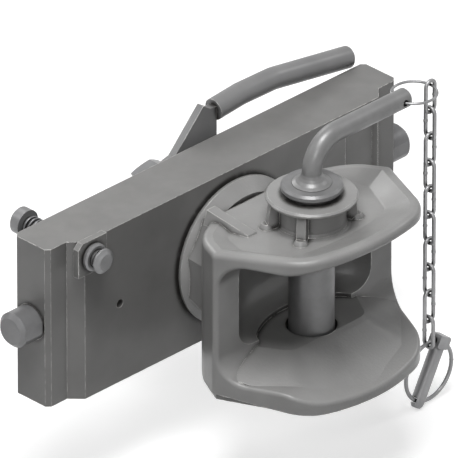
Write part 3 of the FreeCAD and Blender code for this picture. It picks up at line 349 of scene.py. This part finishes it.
def painted(name, colour, shade, rough, grain_scale, bump, wear_width):
    """Satin paint over steel: mottled, rubbed bright on the edges, a little dust on top."""
    material = bpy.data.materials.new(name)
    material.use_nodes = True
    tree = material.node_tree
    shader = shader_of(material)
    wear = use_group(tree, EDGE_WEAR, Width=wear_width)
    grain = use_group(tree, GRAIN, Scale=grain_scale)
    settled = use_group(tree, DUST, Amount=DUST_AMOUNT)
    # painted shade: a dark colour laid into the inner corners, where shade falls
    corner_shade = use_group(tree, PAINTED_SHADE)
    paint = blend_colour(tree, grain.outputs["Mottle"], colour, shade)
    with_corner_shade = blend_colour(tree, corner_shade.outputs["Mask"], paint, PAINTED_SHADE_COLOUR)
    worn = blend_colour(tree, wear.outputs["Mask"], with_corner_shade, RUBBED_STEEL)
    dusty = blend_colour(tree, settled.outputs["Mask"], worn, DUST_COLOUR)
    tree.links.new(dusty, shader.inputs["Base Color"])
    satin = blend_value(tree, grain.outputs["Mottle"], rough, rough + MOTTLED_PAINT)
    gloss = blend_value(tree, wear.outputs["Mask"], satin, RUBBED_ROUGHNESS)
    tree.links.new(gloss, shader.inputs["Roughness"])
    metal = math_node(tree, "MULTIPLY", wear.outputs["Mask"], RUBBED_METALLIC)
    tree.links.new(metal, shader.inputs["Metallic"])
    add_relief(tree, shader, grain.outputs["Height"], bump, wear.outputs["Normal"])
    return material


def bare_metal(name, colour, shade, rough, axis, metallic):
    """Bare or plated steel: mottled, with fine marks along the way it was turned or drawn."""
    material = bpy.data.materials.new(name)
    material.use_nodes = True
    tree = material.node_tree
    shader = shader_of(material)
    shader.inputs["Metallic"].default_value = metallic
    wear = use_group(tree, EDGE_WEAR, Width=METAL_WEAR_WIDTH)
    grain = use_group(tree, GRAIN, Scale=METAL_GRAIN_SCALE, Mottle_Scale=METAL_MOTTLE_SCALE)
    # painted shade: a dark colour laid into the inner corners, where shade falls
    corner_shade = use_group(tree, PAINTED_SHADE, Reach=METAL_PAINTED_SHADE_REACH)
    mixed = blend_colour(tree, grain.outputs["Mottle"], colour, shade)
    with_corner_shade = blend_colour(tree, corner_shade.outputs["Mask"], mixed, PAINTED_SHADE_COLOUR)
    lighter = tuple(part * RUBBED_LIGHTER for part in colour)
    tree.links.new(blend_colour(tree, wear.outputs["Mask"], with_corner_shade, lighter), shader.inputs["Base Color"])
    gloss = blend_value(tree, grain.outputs["Mottle"], rough, rough + MOTTLED_METAL)
    tree.links.new(gloss, shader.inputs["Roughness"])
    height = grain.outputs["Height"]
    if axis:
        height = use_group(tree, TURNING_MARKS, Axis=axis).outputs["Height"]
    add_relief(tree, shader, height, METAL_BUMP, wear.outputs["Normal"])
    return material


def make_finishes():
    """Every finish of the hitch, by the record's slot names."""
    along_x, along_y, along_z = (1.0, 0.0, 0.0), (0.0, 1.0, 0.0), (0.0, 0.0, 1.0)
    # Colour, shade, roughness, grain scale, bump, wear width
    paints = {
        "carriage_steel": ((0.20, 0.198, 0.194), (0.172, 0.17, 0.167), 0.36, 700.0, 0.03 * MM, 1.1 * MM),
        "cast_jaw": ((0.29, 0.288, 0.285), (0.25, 0.248, 0.245), 0.30, 520.0, 0.14 * MM, 1.1 * MM),
        "lever_steel": ((0.215, 0.215, 0.217), (0.185, 0.185, 0.187), 0.34, 800.0, 0.02 * MM, 0.9 * MM),
    }
    # Colour, shade, roughness, the turning's axis, metallic
    metals = {
        "pin_steel": ((0.22, 0.22, 0.222), (0.185, 0.185, 0.187), 0.34, along_z, 0.35),
        "handle_steel": ((0.23, 0.23, 0.23), (0.20, 0.20, 0.20), 0.34, None, 0.35),
        "bolt_steel": ((0.20, 0.20, 0.203), (0.17, 0.17, 0.173), 0.36, along_x, 0.4),
        "turned_steel": ((0.26, 0.26, 0.264), (0.22, 0.22, 0.224), 0.34, along_y, 0.45),
        "bronze": ((0.52, 0.36, 0.17), (0.43, 0.29, 0.14), 0.35, None, 0.9),
        "spring_steel": ((0.20, 0.20, 0.205), (0.16, 0.16, 0.165), 0.38, None, 0.9),
        "wire_steel": ((0.30, 0.30, 0.305), (0.26, 0.26, 0.265), 0.30, None, 0.7),
        "chain_zinc": ((0.34, 0.34, 0.345), (0.29, 0.29, 0.295), 0.34, None, 0.7),
        "linch_zinc": ((0.32, 0.32, 0.325), (0.28, 0.28, 0.285), 0.34, None, 0.6),
    }
    finishes = {name: painted(name, *values) for name, values in paints.items()}
    finishes.update({name: bare_metal(name, *values) for name, values in metals.items()})
    return finishes


FINISHES = make_finishes()


def dress_cad():
    """Every CAD part takes the finish of its slot."""
    for row in frame["record"]["subparts"]:
        node = frame["nodes"][row["node"]]
        node.data.materials.clear()
        node.data.materials.append(FINISHES[row["material_slot"]])


# Geometry Nodes

def new_tree(name, inputs):
    """An empty geometry tree with named inputs that ends in a material."""
    tree = bpy.data.node_groups.new(name, "GeometryNodeTree")
    for label, kind, value in inputs + [("Finish", "NodeSocketMaterial", None)]:
        socket = tree.interface.new_socket(label, in_out="INPUT", socket_type=kind)
        if value is not None:
            socket.default_value = value
    tree.interface.new_socket("Geometry", in_out="OUTPUT", socket_type="NodeSocketGeometry")
    return tree, tree.nodes.new("NodeGroupInput")


def add(tree, kind, **links):
    """A node whose inputs are given by name, as numbers or sockets."""
    node = tree.nodes.new(kind)
    for label, value in links.items():
        socket = node.inputs[label.replace("_", " ")]
        if isinstance(value, bpy.types.NodeSocket):
            tree.links.new(value, socket)
        else:
            socket.default_value = value
    return node


def end_tree(tree, start, geometry):
    """Closes a tree: smooth shading, realized instances, the finish."""
    smooth = add(tree, "GeometryNodeSetShadeSmooth", Geometry=geometry)
    real = add(tree, "GeometryNodeRealizeInstances", Geometry=smooth.outputs[0])
    done = add(tree, "GeometryNodeSetMaterial", Geometry=real.outputs[0], Material=start.outputs["Finish"])
    out = tree.nodes.new("NodeGroupOutput")
    tree.links.new(done.outputs[0], out.inputs[0])
    return tree


def swept(tree, path, wire_radius, sides=ROUND_WIRE, caps=False):
    """A round wire along a curve."""
    section = add(tree, "GeometryNodeCurvePrimitiveCircle", Resolution=sides, Radius=wire_radius)
    body = add(tree, "GeometryNodeCurveToMesh", Curve=path, Profile_Curve=section.outputs[0], Fill_Caps=caps)
    return body.outputs[0]


def welded(tree, start, wire, reach):
    """The wire with its small butt weld, out along X."""
    ball = add(tree, "GeometryNodeMeshUVSphere", Segments=WELD_SEGMENTS, Rings=WELD_RINGS, Radius=1.0)
    size = add(tree, "ShaderNodeCombineXYZ", X=start.outputs["Weld Radius"],
               Y=start.outputs["Weld Length"], Z=start.outputs["Weld Radius"])
    place = add(tree, "ShaderNodeCombineXYZ", X=reach)
    bulge = add(tree, "GeometryNodeTransform", Geometry=ball.outputs[0], Translation=place.outputs[0],
                Scale=size.outputs[0])
    both = tree.nodes.new("GeometryNodeJoinGeometry")
    tree.links.new(wire, both.inputs[0])
    tree.links.new(bulge.outputs[0], both.inputs[0])
    return both.outputs[0]


def ring_tree():
    """A wire ring with its weld."""
    tree, start = new_tree("wire_ring", [
        ("Radius", "NodeSocketFloat", 0.02), ("Wire Radius", "NodeSocketFloat", 0.001),
        ("Weld Radius", "NodeSocketFloat", 0.0012), ("Weld Length", "NodeSocketFloat", 0.002),
    ])
    radius = start.outputs["Radius"]
    path = add(tree, "GeometryNodeCurvePrimitiveCircle", Resolution=RING_STEPS, Radius=radius)
    wire = swept(tree, path.outputs[0], start.outputs["Wire Radius"])
    return end_tree(tree, start, welded(tree, start, wire, radius))


def link_tree():
    """One chain link: a long oval of round wire with a weld on one side."""
    tree, start = new_tree("chain_link", [
        ("Length", "NodeSocketFloat", 0.02), ("Width", "NodeSocketFloat", 0.008),
        ("Wire Radius", "NodeSocketFloat", 0.0015), ("Weld Radius", "NodeSocketFloat", 0.0018),
        ("Weld Length", "NodeSocketFloat", 0.002),
    ])
    width = start.outputs["Width"]
    outline = add(tree, "GeometryNodeCurvePrimitiveQuadrilateral", Width=width,
                  Height=start.outputs["Length"])
    bends = tree.nodes.new("GeometryNodeFilletCurve")
    bends.mode = "POLY"
    tree.links.new(outline.outputs[0], bends.inputs["Curve"])
    tree.links.new(math_node(tree, "MULTIPLY", width, LINK_BEND_SHARE), bends.inputs["Radius"])
    bends.inputs["Count"].default_value = LINK_CORNER_STEPS
    wire = swept(tree, bends.outputs[0], start.outputs["Wire Radius"])
    return end_tree(tree, start, welded(tree, start, wire, math_node(tree, "MULTIPLY", width, 0.5)))


def coil_tree():
    """A coil along Z, for springs and for the thread's ridge."""
    tree, start = new_tree("coil_spring", [
        ("Radius", "NodeSocketFloat", 0.006), ("Wire Radius", "NodeSocketFloat", 0.0009),
        ("Height", "NodeSocketFloat", 0.014), ("Turns", "NodeSocketFloat", 4.0),
    ])
    path = add(tree, "GeometryNodeCurveSpiral", Resolution=COIL_STEPS_PER_TURN,
               Rotations=start.outputs["Turns"], Start_Radius=start.outputs["Radius"],
               End_Radius=start.outputs["Radius"], Height=start.outputs["Height"])
    wire = swept(tree, path.outputs[0], start.outputs["Wire Radius"], COIL_SIDES, True)
    return end_tree(tree, start, wire)


RING_TREE = ring_tree()
LINK_TREE = link_tree()
COIL_TREE = coil_tree()


def grown(name, tree, place, slot, body, stands_for=(), **values):
    """Runs a geometry tree, turns its result into a plain mesh, and rides it on its body."""
    seed = bpy.data.objects.new(name + "_seed", bpy.data.meshes.new(name + "_seed"))
    bpy.context.scene.collection.objects.link(seed)
    modifier = seed.modifiers.new("shape", "NODES")
    modifier.node_group = tree
    for item in tree.interface.items_tree:
        if item.item_type == "SOCKET" and item.in_out == "INPUT":
            key = item.name.replace(" ", "_").lower()
            if key in values:
                modifier[item.identifier] = values[key]
            elif item.name == "Finish":
                modifier[item.identifier] = FINISHES[slot]
    seed.update_tag()
    evaluated = seed.evaluated_get(bpy.context.evaluated_depsgraph_get())
    mesh = bpy.data.meshes.new_from_object(evaluated)
    mesh.transform(place)
    mesh.name = name
    piece = bpy.data.objects.new(name, mesh)
    bpy.context.scene.collection.objects.link(piece)
    bpy.data.objects.remove(seed)
    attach(piece, body)
    if stands_for:
        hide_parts(*stands_for)
    return piece


def turned_to(axis):
    """A turn that takes Z to an axis."""
    return Vector((0, 0, 1)).rotation_difference(Vector(axis)).to_matrix().to_4x4()


def make_chain():
    """Every link of the chain, round where the CAD link is plain."""
    for body, members in frame["record"]["behaviour"]["bodies"].items():
        if not body.startswith("link_"):
            continue
        node = members[0]
        centre, size = span(node)
        thin = min(size.x, size.y)
        wide = max(size.x, size.y)
        wire = thin / 2
        upright = Matrix.Rotation(math.pi / 2, 4, "X")
        if size.y > size.x:
            upright = Matrix.Rotation(math.pi / 2, 4, "Z") @ upright
        grown(node + "_wire", LINK_TREE, Matrix.Translation(centre) @ upright, "chain_zinc", body, [node],
              length=size.z - thin, width=wide - thin, wire_radius=wire, weld_radius=wire * LINK_WELD_SWELL,
              weld_length=wire * LINK_WELD_LENGTH)


def make_rings():
    """The handle's ring lies flat and the linch pin's ring hangs upright."""
    for node, body, slot, axis in (("handle_ring", "ring", "wire_steel", (0, 0, 1)),
                                   ("linch_ring", "linch_ring", "wire_steel", (0, 1, 0))):
        centre, size = span(node)
        wire = min(size) / 2
        grown(node + "_wire", RING_TREE, Matrix.Translation(centre) @ turned_to(axis), slot, body, [node],
              radius=max(size) / 2 - wire, wire_radius=wire, weld_radius=wire * RING_WELD_SWELL,
              weld_length=wire * RING_WELD_LENGTH)


def make_springs():
    """The pull pin's spring and one on each locking bolt, each coiled out from its seat."""
    for node, joint, axis, wire in (
        ("pull_spring", "pull_pin_slide", (0, 1, 0), PULL_SPRING_WIRE_R),
        ("bolt_spring_left", "bolt_left_slide", (-1, 0, 0), BOLT_SPRING_WIRE_R),
        ("bolt_spring_right", "bolt_right_slide", (1, 0, 0), BOLT_SPRING_WIRE_R),
    ):
        centre, size = span(node)
        along = Vector(axis)
        length = abs(size.dot(along))
        across = max(side for side, part in zip(size, axis) if part == 0)
        seat = centre - along * length / 2
        place = Matrix.Translation(seat + along * wire) @ turned_to(axis)
        coil = grown(node + "_coil", COIL_TREE, place, "spring_steel", "carriage", [node],
                     radius=across / 2 - wire, wire_radius=wire, height=length - 2 * wire,
                     turns=SPRING_TURNS)
        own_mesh(coil)


def make_thread():
    """The thread's ridge on the shank's end, past the castle nut."""
    centre, size = span("castle_nut")
    nut_end = centre.y + size.y / 2
    shank_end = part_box("jaw_casting")[1].y
    start = Vector((centre.x, nut_end - THREAD_PITCH, centre.z))
    length = shank_end - THREAD_PITCH / 2 - start.y
    grown("shank_thread", COIL_TREE, Matrix.Translation(start) @ turned_to((0, 1, 0)), "cast_jaw", "jaw",
          radius=SHANK_THREAD_R, wire_radius=THREAD_RIDGE_R, height=length, turns=length / THREAD_PITCH)


def seen_or_mirrored(tree):
    """1 where the background is seen, straight or in metal, and 0 where it only sheds light."""
    path = tree.nodes.new("ShaderNodeLightPath")
    straight = path.outputs["Is Camera Ray"]
    mirrored = math_node(tree, "MAXIMUM", path.outputs["Is Glossy Ray"], path.outputs["Is Transmission Ray"])
    return math_node(tree, "MAXIMUM", straight, mirrored)


def make_stage():
    """A pale floor that is white where it is seen and keeps the hitch's shadow."""
    low = bounds_at_load[0].z
    bpy.ops.mesh.primitive_plane_add(size=FLOOR_WIDTH, location=(0.0, 0.0, low - FLOOR_DROP))
    floor = bpy.context.object
    floor.name = "floor"
    material = bpy.data.materials.new("pale_floor")
    material.use_nodes = True
    shader = shader_of(material)
    seen = (FLOOR_SEEN,) * 3
    bounce = (FLOOR_BOUNCE,) * 3
    tree = material.node_tree
    mask = seen_or_mirrored(tree)
    tree.links.new(blend_colour(tree, mask, bounce, seen), shader.inputs["Base Color"])
    shader.inputs["Emission Color"].default_value = (1.0, 1.0, 1.0, 1.0)
    tree.links.new(math_node(tree, "MULTIPLY", mask, FLOOR_GLOW), shader.inputs["Emission Strength"])
    shader.inputs["Roughness"].default_value = 0.9
    floor.data.materials.append(material)


def make_light():
    """Soft studio light: a dim sky, a wide lamp overhead and smaller ones around for the edges."""
    world = bpy.data.worlds.new("studio")
    bpy.context.scene.world = world
    world.use_nodes = True
    tree = world.node_tree
    sky = next(n for n in tree.nodes if n.type == "BACKGROUND")
    sky.inputs["Color"].default_value = (1.0, 1.0, 1.0, 1.0)
    sky.inputs["Strength"].default_value = SKY
    white = tree.nodes.new("ShaderNodeBackground")
    white.inputs["Strength"].default_value = SEEN_WHITE
    pick = tree.nodes.new("ShaderNodeMixShader")
    out = next(n for n in tree.nodes if n.type == "OUTPUT_WORLD")
    tree.links.new(seen_or_mirrored(tree), pick.inputs["Fac"])
    tree.links.new(sky.outputs[0], pick.inputs[1])
    tree.links.new(white.outputs[0], pick.inputs[2])
    tree.links.new(pick.outputs[0], out.inputs["Surface"])
    for name, place, power, width in LAMPS:
        lamp = bpy.data.lights.new(name, "AREA")
        lamp.energy = power
        lamp.size = width
        holder = bpy.data.objects.new(name, lamp)
        holder.location = place
        holder.rotation_mode = "QUATERNION"
        holder.rotation_quaternion = (AIM - Vector(place)).to_track_quat("-Z", "Y")
        bpy.context.scene.collection.objects.link(holder)


def make_camera():
    """A lens so long that the view is all but parallel, as in the photograph."""
    lens = bpy.data.cameras.new("camera")
    lens.lens = LENS
    lens.sensor_width = SENSOR
    away = FRAME_WIDTH * LENS / SENSOR
    back = Vector((math.sin(VIEW_AZIMUTH) * math.cos(VIEW_ELEVATION),
                   -math.cos(VIEW_AZIMUTH) * math.cos(VIEW_ELEVATION), math.sin(VIEW_ELEVATION)))
    lens.clip_start = away / 20
    lens.clip_end = away * 6
    camera = bpy.data.objects.new("camera", lens)
    camera.location = AIM + back * away
    camera.rotation_mode = "QUATERNION"
    camera.rotation_quaternion = (-back).to_track_quat("-Z", "Y")
    bpy.context.scene.collection.objects.link(camera)
    bpy.context.scene.camera = camera


def main():
    dress_cad()
    make_chain()
    make_rings()
    make_springs()
    make_thread()
    make_stage()
    make_light()
    make_camera()
    bpy.context.scene.view_settings.view_transform = "Standard"


main()
